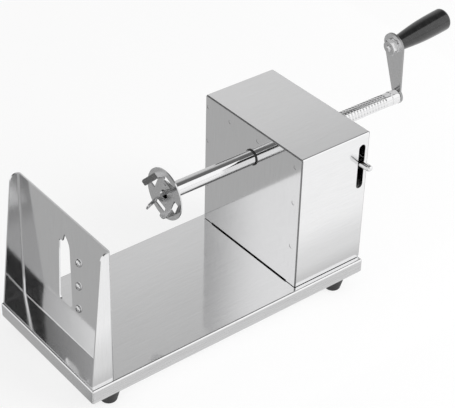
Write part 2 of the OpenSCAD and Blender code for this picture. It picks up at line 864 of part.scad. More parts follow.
module release_lever() {
    color("silver") in_place() difference() {
        union() {
            along_x(lever_x - lever_t / 2, lever_t) {
                polygon([[pivot_y, bar_low], [riser_low_y, bar_low],
                    [tang_far, pin_height(tang_far) - tang_h / 2],
                    [tang_near, pin_height(tang_near) - tang_h / 2],
                    [tang_near, pin_height(tang_near) + tang_h / 2],
                    [tang_far, pin_height(tang_far) + tang_h / 2],
                    [riser_back_y, riser_back_z], [riser_top_y, bar_top], [pivot_y, bar_top]]);
                translate([pivot_y, pivot_z]) circle(pivot_boss_r);
            }
            translate([lever_x - seat_w / 2, spring_y - seat_w / 2, bar_low - seat_t])
                cube([seat_w, seat_w, seat_t]);
        }
        bar_x(lever_x - lever_t, lever_t * 2, pivot_r + run_gap, pivot_y, pivot_z);
        bar_x(lever_x - lever_t, lever_t * 2, nut_screw_r + fit_gap, axis_y, nut_screw_z);
        bar_x(lever_x - lever_t, lever_t * 2, pin_rivet_r + fit_gap, pin_rivet_y, pin_height(pin_rivet_y));
    }
}

module lever_spacers() {
    front_l = lever_x - lever_t / 2 - ear_front - ear_t - run_gap;
    back_l = ear_back - lever_x - lever_t / 2 - run_gap;
    color("dimgray") in_place() difference() {
        union() {
            bar_x(lever_x - lever_t / 2 - front_l, front_l, pivot_r * 2, pivot_y, pivot_z);
            bar_x(lever_x + lever_t / 2, back_l, pivot_r * 2, pivot_y, pivot_z);
        }
        bar_x(ear_front, ear_back - ear_front, pivot_r + run_gap, pivot_y, pivot_z);
    }
}

// A right hand screw thread along x, of whole turns, with a plain lead at each end.
// play_r and play_x widen it for cutting the nut, turn_from shifts it by whole turns.
module thread_form(turn_from, turn_count, lead_front, lead_rear, play_r = 0, play_x = 0) {
    n = thread_sides;
    last = turn_count * n;
    play = play_x / pitch;
    shares = thread_shares + [play, -play, -play, play];
    root = thread_root + play_r;
    crest = thread_r + play_r;
    radii = [root, root, crest, crest];
    start = thread_start + turn_from * pitch;
    stop = start + pitch * (turn_count + 1 + play);
    // First point of each line of points, then of the two end rings
    line = [0, last + n + 1, last * 2 + n + 2, last * 3 + n + 3];
    front = last * 4 + n + 4;
    rear = front + n;
    points = concat(
        [for (m = [0 : 3], k = [0 : m == 0 ? last + n : last]) let (a = full_turn * k / n)
            [start + pitch * (k / n + shares[m]), radii[m] * cos(a), radii[m] * sin(a)]],
        [for (x = [start - lead_front, stop + lead_rear], i = [0 : n - 1]) let (a = full_turn * i / n)
            [x, root * cos(a), root * sin(a)]]);
    strips = concat(
        [for (m = [0 : 2], k = [0 : last - 1]) [line[m] + k, line[m + 1] + k, line[m + 1] + k + 1, line[m] + k + 1]],
        [for (k = [0 : last - 1]) [line[3] + k, k + n, k + n + 1, line[3] + k + 1]]);
    bands = concat(
        [for (k = [0 : n - 2]) [front + k, k, k + 1, front + k + 1]],
        [for (k = [1 : n - 1]) [last + k, rear + k, rear + (k + 1) % n, last + k + 1]]);
    faces = concat(
        [for (q = concat(strips, bands)) [q[0], q[1], q[2]]],
        [for (q = concat(strips, bands)) [q[0], q[2], q[3]]],
        [[front + n - 1, n - 1, n, line[1], 0, front]],
        [[n, line[3], line[2], line[1]]],
        [[last, line[1] + last, last + n, rear, rear + 1, last + 1]],
        [[line[1] + last, line[2] + last, line[3] + last, last + n]],
        [[for (i = [0 : n - 1]) front + i]],
        [[for (i = [0 : n - 1]) rear + n - 1 - i]]);
    translate([0, axis_y, axis_z]) polyhedron(points = points, faces = faces);
}

module half_nut() {
    first = floor((nut_x - thread_start) / pitch) - 2;
    count = ceil(nut_l / pitch) + 3;
    color("goldenrod") in_place() difference() {
        translate([nut_x, axis_y - nut_w / 2, nut_low]) cube([nut_l, nut_w, nut_top - nut_low]);
        thread_form(first, count, over, over, thread_play_r, thread_play_x);
        translate([lever_x - lever_t / 2 - fit_gap, axis_y - nut_w / 2 - over, nut_low - over])
            cube([lever_t + fit_gap * 2, nut_w + over * 2, bar_top - nut_low + over]);
        bar_x(nut_x - over, nut_l + over * 2, nut_screw_r + fit_gap, axis_y, nut_screw_z);
    }
}

module half_nut_screw() {
    color("silver") in_place() {
        bar_x(nut_x, nut_l, nut_screw_r, axis_y, nut_screw_z);
        bar_x(nut_x - nut_screw_head_h, nut_screw_head_h, nut_screw_head_r, axis_y, nut_screw_z);
    }
}

// The pin's own direction: from the middle of its free end inwards
module along_pin() {
    translate([lever_x, pin_end_y + pin_r, pin_height(pin_end_y + pin_r)])
        rotate([-90 - pin_rise, 0, 0]) children();
}

module release_pin() {
    color("whitesmoke") in_place() difference() {
        along_pin() {
            cylinder(h = pin_out - pin_r + pin_in, r = pin_r);
            sphere(pin_r);
        }
        translate([lever_x - lever_t / 2 - fit_gap, pin_slot_end, pin_z - pin_in])
            cube([lever_t + fit_gap * 2, pin_in + pin_r * 2, pin_in * 2]);
        bar_x(lever_x - pin_r * 2, pin_r * 4, pin_rivet_r + fit_gap, pin_rivet_y, pin_height(pin_rivet_y));
    }
}

module release_pin_rivet() {
    color("silver") in_place()
        bar_x(lever_x - pin_r, pin_r * 2, pin_rivet_r, pin_rivet_y, pin_height(pin_rivet_y));
}

module stop_collar() {
    color("whitesmoke") in_place() difference() {
        bar_x(collar_x, collar_l, collar_r);
        bar_x(collar_x - over, collar_l + over * 2, journal_r + run_gap);
    }
}

// Something at each prong's root: x forward, y out from the shaft, z round it
module at_prong(i) {
    translate([disc_x, axis_y, axis_z]) rotate([prong_angles[i], 0, 0])
        translate([0, 0, prong_root]) children();
}

// A bent up tooth: its side view gives the lean, its face view the chamfered tip
module tooth(lean) {
    root = disc_t / 2;
    reach = prong_l * [-cos(lean), sin(lean)];
    thick = disc_t * [sin(lean), cos(lean)];
    intersection() {
        translate([0, prong_r + prong_w, 0]) rotate([90, 0, 0]) linear_extrude(prong_w)
            polygon([[0, 0], reach, reach + thick, [root, disc_t / cos(lean) - root * tan(lean)], [root, root / 2]]);
        translate([0, 0, -prong_l]) linear_extrude(prong_l * 2)
            polygon([[root, prong_r], [root, prong_r + prong_w],
                [prong_chamfer - prong_l, prong_r + prong_w], [-prong_l, prong_r + prong_w - prong_chamfer],
                [-prong_l, prong_r + prong_chamfer], [prong_chamfer - prong_l, prong_r]]);
    }
}

module potato_disc() {
    color("silver") in_place() {
        difference() {
            bar_x(disc_x, disc_t, disc_r);
            bar_x(disc_x - over, disc_t + over * 2, skewer_r);
            for (i = [0 : len(prong_angles) - 1]) at_prong(i)
                translate([-over, prong_r, -prong_l]) cube([disc_t + over * 2, prong_w, prong_l]);
            for (z = [-disc_rivet_place, disc_rivet_place])
                bar_x(disc_x - over, disc_t + over * 2, disc_rivet_r + fit_gap, axis_y, axis_z + z);
        }
        for (i = [0 : len(prong_angles) - 1]) at_prong(i) tooth(prong_leans[i]);
    }
}

module disc_hub() {
    color("silver") in_place() difference() {
        bar_x(tube_x, hub_l, hub_r);
        bar_x(tube_x - over, hub_l + over * 2, tube_r + fit_gap);
        for (z = [-disc_rivet_place, disc_rivet_place])
            bar_x(tube_x - over, hub_l + over * 2, disc_rivet_r + fit_gap, axis_y, axis_z + z);
    }
}

module disc_rivets() {
    color("dimgray") in_place() for (z = [-disc_rivet_place, disc_rivet_place]) {
        bar_x(disc_x, disc_t + hub_l, disc_rivet_r, axis_y, axis_z + z);
        bar_x(disc_x - disc_rivet_head_h, disc_rivet_head_h, disc_rivet_head_r, axis_y, axis_z + z);
    }
}

module drive_tube() {
    color("whitesmoke") in_place() difference() {
        bar_x(tube_x, tube_l, tube_r);
        bar_x(tube_x - over, skewer_l + over, skewer_r);
        bar_x(tube_x + skewer_l, tube_l - skewer_l + over, dowel_seat_r);
        translate([tube_pin_x, axis_y, axis_z - tube_r * 2]) cylinder(h = tube_r * 4, r = tube_pin_r + fit_gap);
    }
}

module tube_pin() {
    pin_half = tube_r - end_gap;
    color("silver") in_place() translate([tube_pin_x, axis_y, axis_z - pin_half])
        cylinder(h = pin_half * 2, r = tube_pin_r);
}

module feed_screw() {
    lead_rear = thread_end - thread_start - pitch * (turn_segments + 1);
    color("whitesmoke") in_place() thread_form(0, turn_segments, thread_lead, lead_rear);
}

// Turned ends of the screw: one fills the tube's bore, the other carries the collar and the arm
module screw_dowel() {
    color("silver") in_place() difference() {
        bar_x(tube_end - dowel_l, dowel_l, dowel_r);
        translate([tube_pin_x, axis_y, axis_z - tube_r * 2])
            cylinder(h = tube_r * 4, r = tube_pin_r + fit_gap);
    }
}

module end_stud() {
    color("silver") in_place() {
        bar_x(thread_end, arm_x + arm_t - thread_end, journal_r);
        bar_x(arm_x + arm_t, peen_t, peen_r);
    }
}

// The crank's own frame: z out along the arm, x along the grip
module at_crank() {
    translate([arm_x + arm_t / 2, axis_y, axis_z]) rotate([-arm_turn, 0, 0]) rotate([0, -arm_lean, 0])
        children();
}

module at_grip() {
    at_crank() translate([0, 0, arm_l]) rotate([0, 90, 0]) children();
}

module crank_arm() {
    // The straight edges run from the shaft to where they touch the wide end
    spread = asin(arm_top_r / norm([arm_l, arm_low_w])) - atan(arm_low_w / arm_l);
    wide = arm_top_r * cos(spread);
    wide_z = arm_l - arm_top_r * sin(spread);
    color("silver") in_place() difference() {
        union() {
            at_crank() translate([-arm_t / 2, 0, 0]) rotate([90, 0, 90]) linear_extrude(arm_t) {
                translate([0, arm_l]) circle(arm_top_r);
                polygon([[-arm_low_w, 0], [arm_low_w, 0], [wide, wide_z], [-wide, wide_z]]);
            }
            bar_x(arm_x, arm_t, arm_hub_r);
        }
        bar_x(arm_x - over * 2, arm_t + over * 4, journal_r);
        at_grip() translate([0, 0, -arm_t]) cylinder(h = arm_t * 2, r = bolt_r + fit_gap);
        // The inclined end is trimmed flush with the flat one round the shaft
        bar_x(arm_x - over - end_gap, over + end_gap, collar_r + end_gap);
        bar_x(arm_x + arm_t, over, collar_r + end_gap);
    }
}

module grip_bolt() {
    shank_from = -arm_t / 2 - washer_t - grip_nut_h - bolt_past;
    shank_to = grip_far - grip_sink;
    color("silver") in_place() at_grip() {
        translate([0, 0, shank_from]) cylinder(h = shank_to - shank_from, r = bolt_r);
        translate([0, 0, shank_from - bolt_dome]) cylinder(h = bolt_dome, r1 = bolt_r / 2, r2 = bolt_r);
        translate([0, 0, shank_to]) difference() {
            cylinder(h = bolt_head_h, r = bolt_head_r);
            translate([0, 0, bolt_head_h / 2]) hex(bolt_r, bolt_head_h);
        }
    }
}

module grip_washer() {
    color("silver") in_place() at_grip() translate([0, 0, -arm_t / 2 - washer_t]) difference() {
        cylinder(h = washer_t, r = washer_r);
        translate([0, 0, -over]) cylinder(h = washer_t + over * 2, r = bolt_r + fit_gap);
    }
}

module grip_nut() {
    color("silver") in_place() at_grip() translate([0, 0, -arm_t / 2 - washer_t - grip_nut_h]) difference() {
        hex(grip_nut_r, grip_nut_h);
        translate([0, 0, -over]) cylinder(h = grip_nut_h + over * 2, r = bolt_r + fit_gap);
    }
}

module crank_grip() {
    swell = grip_full_r - grip_r;
    side = [for (i = [0 : len(grip_length_shares) - 1])
        [grip_r + swell * grip_swell_shares[i], grip_l * grip_length_shares[i]]];
    end_arc = [for (a = [0 : 15 : 90])
        [grip_full_r - grip_round + grip_round * cos(a), grip_l - grip_round + grip_round * sin(a)]];
    color("#181818") in_place() at_grip() translate([0, 0, arm_t / 2 + grip_gap]) difference() {
        rotate_extrude() polygon(concat([[0, 0]], side, end_arc, [[0, grip_l]]));
        translate([0, 0, -over]) cylinder(h = grip_l + over * 2, r = grip_bore_r);
        translate([0, 0, grip_l - grip_sink - run_gap]) cylinder(h = grip_sink + over, r = grip_sink_r);
    }
}

base_tray();
rubber_feet();
foot_screws();
foot_nuts();
blade_bracket();
slicing_blade();
blade_screws();
blade_nuts();
housing_cover();
housing_front_panel();
housing_back_panel();
housing_screws();
housing_nuts();
front_bush();
front_bush_ring();
rear_bush();
rear_bush_screws();
lever_bracket();
lever_pivot_pin();
lever_pivot_clip();
spring_shelf();
bracket_rivets();
lever_spring();
release_lever();
lever_spacers();
half_nut();
half_nut_screw();
release_pin();
release_pin_rivet();
stop_collar();
potato_disc();
disc_hub();
disc_rivets();
drive_tube();
tube_pin();
screw_dowel();
feed_screw();
end_stud();
crank_arm();
grip_bolt();
grip_washer();
grip_nut();
crank_grip();
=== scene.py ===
import json
import math

import bpy
from mathutils import Matrix, Vector

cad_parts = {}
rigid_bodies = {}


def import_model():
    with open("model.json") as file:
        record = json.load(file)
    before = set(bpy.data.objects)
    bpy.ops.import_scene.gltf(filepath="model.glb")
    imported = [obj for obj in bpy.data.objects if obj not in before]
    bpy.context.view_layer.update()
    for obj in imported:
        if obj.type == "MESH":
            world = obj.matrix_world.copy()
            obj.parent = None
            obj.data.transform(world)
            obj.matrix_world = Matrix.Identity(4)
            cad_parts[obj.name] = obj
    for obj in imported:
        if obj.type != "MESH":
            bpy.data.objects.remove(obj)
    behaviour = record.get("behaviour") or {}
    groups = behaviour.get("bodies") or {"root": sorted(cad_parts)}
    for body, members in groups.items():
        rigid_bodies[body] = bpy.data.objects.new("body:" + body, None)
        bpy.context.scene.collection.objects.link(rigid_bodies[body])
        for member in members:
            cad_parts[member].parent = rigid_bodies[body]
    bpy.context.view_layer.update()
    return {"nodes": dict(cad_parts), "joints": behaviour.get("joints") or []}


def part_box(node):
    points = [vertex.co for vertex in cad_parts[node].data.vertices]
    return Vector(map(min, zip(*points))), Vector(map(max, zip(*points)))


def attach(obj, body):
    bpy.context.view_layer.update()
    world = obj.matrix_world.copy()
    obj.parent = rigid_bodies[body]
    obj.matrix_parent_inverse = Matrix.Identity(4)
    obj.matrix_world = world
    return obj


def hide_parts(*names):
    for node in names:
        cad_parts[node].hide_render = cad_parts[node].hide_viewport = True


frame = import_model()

mm = 0.001
meshSizes = {"weld": 0.001, "sheetWeld": 0.002, "flatAngle": 0.8, "normalWeight": 80}

# places in the tray's own layout: x from its front edge, y from its near edge, z from its top
trayLow, trayHigh = [Vector(corner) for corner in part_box("base_tray")]


def layout(x, y, z):
    return Vector((trayLow.x + x * mm, trayLow.y + y * mm, trayHigh.z + z * mm))


def boxOf(node):
    low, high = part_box(node)
    return Vector(low), Vector(high)


def jointNamed(name):
    return next(joint for joint in frame["joints"] if joint["name"] == name)


# small helpers for working on one piece at a time
def selectOnly(piece):
    bpy.ops.object.select_all(action='DESELECT')
    piece.select_set(True)
    bpy.context.view_layer.objects.active = piece


def newPiece(name):
    piece = bpy.context.object
    piece.name = name
    piece.data.name = name
    return piece


def applyPlace():
    bpy.ops.object.transform_apply(location=True, rotation=True, scale=True)


def applyAll(piece):
    selectOnly(piece)
    for modifier in list(piece.modifiers):
        bpy.ops.object.modifier_apply(modifier=modifier.name)


def placePiece(piece, matrix):
    piece.matrix_world = matrix @ piece.matrix_world
    selectOnly(piece)
    applyPlace()


def makeBlock(name, middle, size):
    bpy.ops.object.select_all(action='DESELECT')
    bpy.ops.mesh.primitive_cube_add(size=1, location=middle)
    block = newPiece(name)
    block.scale = size
    applyPlace()
    return block


def smoothPiece(piece, angle=35):
    selectOnly(piece)
    bpy.ops.object.shade_smooth_by_angle(angle=math.radians(angle))


# the large flat faces set the shading, so the soft edges stay narrow
def evenOut(piece):
    even = piece.modifiers.new("even", 'WEIGHTED_NORMAL')
    even.weight = meshSizes["normalWeight"]
    even.keep_sharp = True
    applyAll(piece)


def bevelEdges(piece, width, segments=3, angle=35):
    bevel = piece.modifiers.new("edge", 'BEVEL')
    bevel.width = width * mm
    bevel.segments = segments
    bevel.limit_method = 'ANGLE'
    bevel.angle_limit = math.radians(angle)
    applyAll(piece)
    smoothPiece(piece, angle)
    evenOut(piece)


def finishPiece(piece, body, material, slot, *nodes):
    piece.data.materials.clear()
    piece.data.materials.append(material)
    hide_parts(*nodes)
    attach(piece, body)


# a second mesh cuts or trims a piece, then goes
def cutWith(piece, cutter, operation='DIFFERENCE'):
    cut = piece.modifiers.new("cut", 'BOOLEAN')
    cut.object = cutter
    cut.operation = operation
    applyAll(piece)
    selectOnly(cutter)
    bpy.ops.object.delete()


def joinPieces(pieces, name):
    selectOnly(pieces[0])
    for piece in pieces[1:]:
        piece.select_set(True)
    bpy.ops.object.join()
    return newPiece(name)


# loose points are merged, open ends closed and all faces turned outwards
def closeMesh(fill=True):
    bpy.ops.mesh.select_all(action='SELECT')
    bpy.ops.mesh.remove_doubles(threshold=meshSizes["weld"] * mm)
    if fill:
        bpy.ops.mesh.select_all(action='SELECT')
        bpy.ops.mesh.fill_holes(sides=0)
    bpy.ops.mesh.select_all(action='SELECT')
    bpy.ops.mesh.normals_make_consistent(inside=False)


# a round piece: one ring is drawn and carried through the outline's radii and heights
# hollow: the last ring joins the first, so the outline has a bore
def turnedPiece(name, outline, sides=48, hollow=False, angle=35):
    radius, height = outline[0]
    bpy.ops.object.select_all(action='DESELECT')
    bpy.ops.mesh.primitive_circle_add(vertices=sides, radius=radius * mm, location=(0, 0, 0))
    piece = newPiece(name)
    bpy.ops.object.mode_set(mode='EDIT')
    bpy.ops.mesh.select_mode(type='VERT')
    bpy.ops.mesh.select_all(action='SELECT')
    bpy.ops.transform.translate(value=(0, 0, height * mm))
    stops = outline[1:] + ([outline[0]] if hollow else [])
    for nextRadius, nextHeight in stops:
        bpy.ops.mesh.extrude_region_move(
            TRANSFORM_OT_translate={"value": (0, 0, (nextHeight - height) * mm)})
        share = nextRadius / radius
        bpy.ops.transform.resize(value=(share, share, 1), center_override=(0, 0, nextHeight * mm))
        radius, height = nextRadius, nextHeight
    closeMesh(fill=not hollow)
    bpy.ops.object.mode_set(mode='OBJECT')
    smoothPiece(piece, angle)
    return piece


# points of a round corner, for the outlines of turned pieces
def roundCorner(radius, height, size, start, end, steps=5):
    points = []
    for step in range(steps + 1):
        turn = math.radians(start + (end - start) * step / steps)
        points.append((radius + size * math.cos(turn), height + size * math.sin(turn)))
    return points


# a folded or stamped sheet keeps the solid's shape and gets softened edges
# seam: how far its lower end is trimmed, so that a dark line shows under it
def sheetPiece(name, node, edge, segments=2, angle=30, seam=0.0):
    selectOnly(frame["nodes"][node])
    bpy.ops.object.duplicate()
    piece = newPiece(name)
    bpy.ops.object.parent_clear(type='CLEAR_KEEP_TRANSFORM')
    applyPlace()
    bpy.ops.object.mode_set(mode='EDIT')
    bpy.ops.mesh.select_all(action='SELECT')
    bpy.ops.mesh.remove_doubles(threshold=meshSizes["sheetWeld"] * mm)
    if seam:
        height = boxOf(node)[0].z + seam * mm
        bpy.ops.mesh.bisect(plane_co=(0, 0, height), plane_no=(0, 0, 1), use_fill=True, clear_inner=True)
        bpy.ops.mesh.select_all(action='SELECT')
    bpy.ops.mesh.dissolve_limited(angle_limit=math.radians(meshSizes["flatAngle"]))
    bpy.ops.object.mode_set(mode='OBJECT')
    if edge:
        bevelEdges(piece, edge, segments, angle)
    else:
        smoothPiece(piece, angle)
    return piece


tubeLow, tubeHigh = boxOf("drive_tube")
shaftLine = (tubeLow + tubeHigh) / 2


def alongShaft(x):
    place = Matrix.Translation(Vector((x, shaftLine.y, shaftLine.z)))
    return place @ Matrix.Rotation(math.radians(90), 4, 'Y')


print("frame read, pieces:", len(frame["nodes"]))


# finishes
def newMaterial(name):
    material = bpy.data.materials.new(name)
    material.use_nodes = True
    return material, material.node_tree, material.node_tree.nodes["Principled BSDF"]


def addNoise(tree, coords, scale, detail):
    noise = tree.nodes.new("ShaderNodeTexNoise")
    noise.inputs["Scale"].default_value = scale
    noise.inputs["Detail"].default_value = detail
    tree.links.new(coords, noise.inputs["Vector"])
    return noise.outputs["Fac"]


# a value is carried over from one range to another
def carryOver(tree, value, start, end=(0.0, 1.0)):
    spread = tree.nodes.new("ShaderNodeMapRange")
    for socket, number in zip(("From Min", "From Max", "To Min", "To Max"), (*start, *end)):
        spread.inputs[socket].default_value = number
    tree.links.new(value, spread.inputs["Value"])
    return spread.outputs["Result"]


# stops: pairs of place, from 0 to 1, and colour
def addRamp(tree, value, stops, interpolation='LINEAR'):
    ramp = tree.nodes.new("ShaderNodeValToRGB")
    ramp.color_ramp.interpolation = interpolation
    points = ramp.color_ramp.elements
    while len(points) < len(stops):
        points.new(0.5)
    for index, (place, colour) in enumerate(stops):
        points[index].position = place
        points[index].color = (*colour, 1)
    tree.links.new(value, ramp.inputs["Fac"])
    return ramp.outputs["Color"]


reliefDepth = 0.05


def addRelief(tree, shader, value, strength):
    relief = tree.nodes.new("ShaderNodeBump")
    relief.inputs["Strength"].default_value = strength
    relief.inputs["Distance"].default_value = reliefDepth * mm
    tree.links.new(value, relief.inputs["Height"])
    tree.links.new(relief.outputs["Normal"], shader.inputs["Normal"])


# the dark and the light shade of a finish, as shares of its tone
def shadesOf(tone, look):
    return [[tone * part for part in look[share]] for share in ("darkShare", "lightShare")]


steelLook = {"lineDetail": 4.0, "lineRange": (0.3, 0.7), "patchDetail": 3.0, "patchRange": (0.35, 0.75),
             "darkShare": (0.93, 0.93, 0.935), "lightShare": (1.0, 1.0, 1.005)}


# grain: how the fine lines are stretched; smudge: broad patches left by rolling and handling
# shades: a dark and a light colour in place of the grey that the tone gives
def steelFinish(name, tone, roughness, grain, lines=0.05, smudge=0.05, bump=0.05, patch=18.0, shades=None):
    look = steelLook
    material, tree, shader = newMaterial(name)
    shader.inputs["Metallic"].default_value = 1.0
    coords = tree.nodes.new("ShaderNodeTexCoord").outputs["Object"]
    stretch = tree.nodes.new("ShaderNodeMapping")
    stretch.inputs["Scale"].default_value = grain
    tree.links.new(coords, stretch.inputs["Vector"])
    fine = addNoise(tree, stretch.outputs["Vector"], 1.0, look["lineDetail"])
    broad = addNoise(tree, coords, patch, look["patchDetail"])
    dull = tree.nodes.new("ShaderNodeMath")
    fineDull = carryOver(tree, fine, look["lineRange"], (roughness - lines, roughness + lines))
    tree.links.new(fineDull, dull.inputs[0])
    tree.links.new(carryOver(tree, broad, look["patchRange"], (0.0, smudge)), dull.inputs[1])
    tree.links.new(dull.outputs["Value"], shader.inputs["Roughness"])
    colour = addRamp(tree, fine, list(zip(look["lineRange"], shades or shadesOf(tone, look))))
    tree.links.new(colour, shader.inputs["Base Color"])
    addRelief(tree, shader, fine, bump)
    return material


blackLook = {"detail": 5.0, "shadePlaces": (0.35, 0.7), "sheenRange": (0.3, 0.7), "coatRoughness": 0.06,
             "darkShare": (0.7, 0.7, 0.72), "lightShare": (1.3, 1.3, 1.32)}


# moulded black parts: a little mottling in tone, sheen and surface
def blackFinish(name, tone, roughness, spread, scale, bump, coat=0.0):
    look = blackLook
    material, tree, shader = newMaterial(name)
    shader.inputs["Coat Weight"].default_value = coat
    shader.inputs["Coat Roughness"].default_value = look["coatRoughness"]
    coords = tree.nodes.new("ShaderNodeTexCoord").outputs["Object"]
    mottle = addNoise(tree, coords, scale, look["detail"])
    colour = addRamp(tree, mottle, list(zip(look["shadePlaces"], shadesOf(tone, look))))
    tree.links.new(colour, shader.inputs["Base Color"])
    sheen = carryOver(tree, mottle, look["sheenRange"], (roughness - spread, roughness + spread))
    tree.links.new(sheen, shader.inputs["Roughness"])
    addRelief(tree, shader, mottle, bump)
    return material


traySteel = steelFinish("trayBright", 0.86, 0.08, (50, 2600, 2600), lines=0.015, smudge=0.03, bump=0.02)
flangeSteel = steelFinish("trayFoldGrained", 0.86, 0.26, (40, 2600, 2600), lines=0.06, bump=0.08)
bracketSteel = steelFinish("bracketBright", 0.86, 0.09, (2600, 2600, 60), lines=0.02, smudge=0.03, bump=0.02)
coverSteel = steelFinish("coverBright", 0.88, 0.11, (50, 2800, 2800), lines=0.02, smudge=0.03, bump=0.02)
panelSteel = steelFinish("panelBright", 0.88, 0.08, (2600, 2600, 50), lines=0.02, smudge=0.02, bump=0.02)
discSteel = steelFinish("discStamped", 0.71, 0.2, (1500, 1500, 1500),
                        lines=0.06, smudge=0.1, bump=0.04, patch=110)
armSteel = steelFinish("armSatin", 0.79, 0.2, (2200, 2200, 80), lines=0.03, bump=0.02, patch=40)
# painted shade: a dark steel for the panels' rims, in place of the shade in the gap to the cover
rimPaintedShade = steelFinish("gapPaintedShade", 0.30, 0.5, (600, 600, 600), lines=0.08, smudge=0.08, patch=80)
armEdgeSteel = steelFinish("armShearedEdge", 0.40, 0.45, (700, 700, 700),
                           lines=0.08, smudge=0.08, bump=0.1, patch=80)
bladeSteel = steelFinish("bladeGround", 0.76, 0.16, (1600, 1600, 200), smudge=0.03)
innerSteel = steelFinish("plainBar", 0.62, 0.34, (500, 500, 500), lines=0.08, smudge=0.1, bump=0.1)
shaftChrome = steelFinish("shaftPolished", 0.84, 0.06, (2600, 160, 160),
                          lines=0.02, smudge=0.03, bump=0.03, patch=40)
fastenerSteel = steelFinish("fastenerBright", 0.74, 0.2, (1800, 1800, 1800),
                            smudge=0.06, bump=0.02, patch=120)
springSteel = steelFinish("springWire", 0.48, 0.3, (1500, 1500, 1500), lines=0.06, smudge=0.08, patch=200)
nutBrass = steelFinish("nutBrass", 0.6, 0.28, (900, 900, 900), lines=0.06, smudge=0.08, patch=90,
                       shades=((0.60, 0.43, 0.18), (0.74, 0.56, 0.27)))
gripBlack = blackFinish("gripGloss", 0.012, 0.16, 0.03, 260, 0.02, coat=0.5)
rubberBlack = blackFinish("footRubber", 0.022, 0.62, 0.08, 900, 0.3)
bushBlack = blackFinish("bushPlastic", 0.018, 0.42, 0.06, 700, 0.15)
print("finishes made:", len(bpy.data.materials))

# base tray: an upturned folded tray with soft folds; its walls have a coarser grain than its top
traySizes = {"sheet": 1.2, "fold": 1.8, "foldSteps": 6, "underside": -0.9, "wallSlope": 0.3}


def makeTray():
    s = traySizes
    tray = makeBlock("traySheet", (trayLow + trayHigh) / 2, trayHigh - trayLow)
    bpy.ops.object.mode_set(mode='EDIT')
    bpy.ops.mesh.select_mode(type='FACE')
    bpy.ops.mesh.select_all(action='DESELECT')
    bpy.ops.object.mode_set(mode='OBJECT')
    for face in tray.data.polygons:
        face.select = face.normal.z < s["underside"]
    bpy.ops.object.mode_set(mode='EDIT')
    bpy.ops.mesh.delete(type='FACE')
    bpy.ops.object.mode_set(mode='OBJECT')
    bevelEdges(tray, s["fold"], s["foldSteps"])
    wall = tray.modifiers.new("wall", 'SOLIDIFY')
    wall.thickness = s["sheet"] * mm
    wall.offset = -1
    wall.use_even_offset = True
    applyAll(tray)
    smoothPiece(tray)
    evenOut(tray)
    finishPiece(tray, "frame", traySteel, "tray_steel", "base_tray")
    tray.data.materials.append(flangeSteel)
    for face in tray.data.polygons:
        if abs(face.normal.z) < s["wallSlope"]:
            face.material_index = 1


makeTray()

# feet: tapered rubber with a screw sunk in from below
footSizes = {"top": 11.2, "tip": 7.2, "drop": 16.0, "edge": 1.5, "sink": 5.2, "sinkRadius": 3.9, "hole": 2.05,
             "flare": 0.3, "flareDrop": 0.4, "inTray": 10.5, "sides": 48}


def makeFeet():
    low, high = boxOf("rubber_feet")
    s = footSizes
    outline = [(s["hole"], s["sink"]), (s["sinkRadius"], s["sink"]), (s["sinkRadius"], 0.0)]
    outline += [(s["tip"] - s["edge"], 0.0)]
    outline += roundCorner(s["tip"] - s["edge"], s["edge"], s["edge"], -60, 0, 4)
    outline += [(s["top"] - s["flare"], s["drop"] - s["flareDrop"]), (s["top"], s["drop"])]
    outline += [(s["top"], s["drop"] + s["inTray"]), (s["hole"], s["drop"] + s["inTray"])]
    feet = []
    for x in (low.x, high.x - 2 * s["top"] * mm):
        for y in (low.y, high.y - 2 * s["top"] * mm):
            foot = turnedPiece("foot", outline, sides=s["sides"], hollow=True)
            corner = Vector((x, y, low.z)) + Vector((s["top"] * mm, s["top"] * mm, 0))
            placePiece(foot, Matrix.Translation(corner))
            feet.append(foot)
    joined = joinPieces(feet, "rubberFeet")
    finishPiece(joined, "frame", rubberBlack, "foot_rubber", "rubber_feet")


makeFeet()
print("tray and feet done")

# bracket, blade and its screws
bracketSizes = {"edge": 0.3, "plateFront": 20.6, "sheet": 1.5, "smooth": 30,
                "flangeSlope": 0.035, "flangeTop": (0.8, 1.6),
                "leanFrom": 82.0, "farLean": 5.0, "farRise": 2.0,
                "foldRadius": 1.0, "foldSink": 0.2, "foldSides": 96, "cutterShare": 1.1}
bladeSizes = {"edge": 0.05}


# the fold is a little wider than square, so the flange's top falls towards the front
def slopeFlange(piece):
    low = boxOf("blade_bracket")[0]
    fold = low.x + bracketSizes["plateFront"] * mm
    under, over = [low.z + height * mm for height in bracketSizes["flangeTop"]]
    for vertex in piece.data.vertices:
        if vertex.co.x < fold and under < vertex.co.z < over:
            vertex.co.z -= bracketSizes["flangeSlope"] * (fold - vertex.co.x)
    piece.data.update()


# the far gusset leans inwards at its top
def leanFarSide(piece):
    s = bracketSizes
    low, high = boxOf("blade_bracket")
    start = trayLow.y + s["leanFrom"] * mm
    reach = high.y - s["sheet"] * mm - start
    for vertex in piece.data.vertices:
        across = min(1.0, max(0.0, (vertex.co.y - start) / reach))
        share = across * (vertex.co.z - low.z) / (high.z - low.z)
        vertex.co.y -= s["farLean"] * mm * share
        vertex.co.z += s["farRise"] * mm * share
    piece.data.update()
    smoothPiece(piece, s["smooth"])
    evenOut(piece)


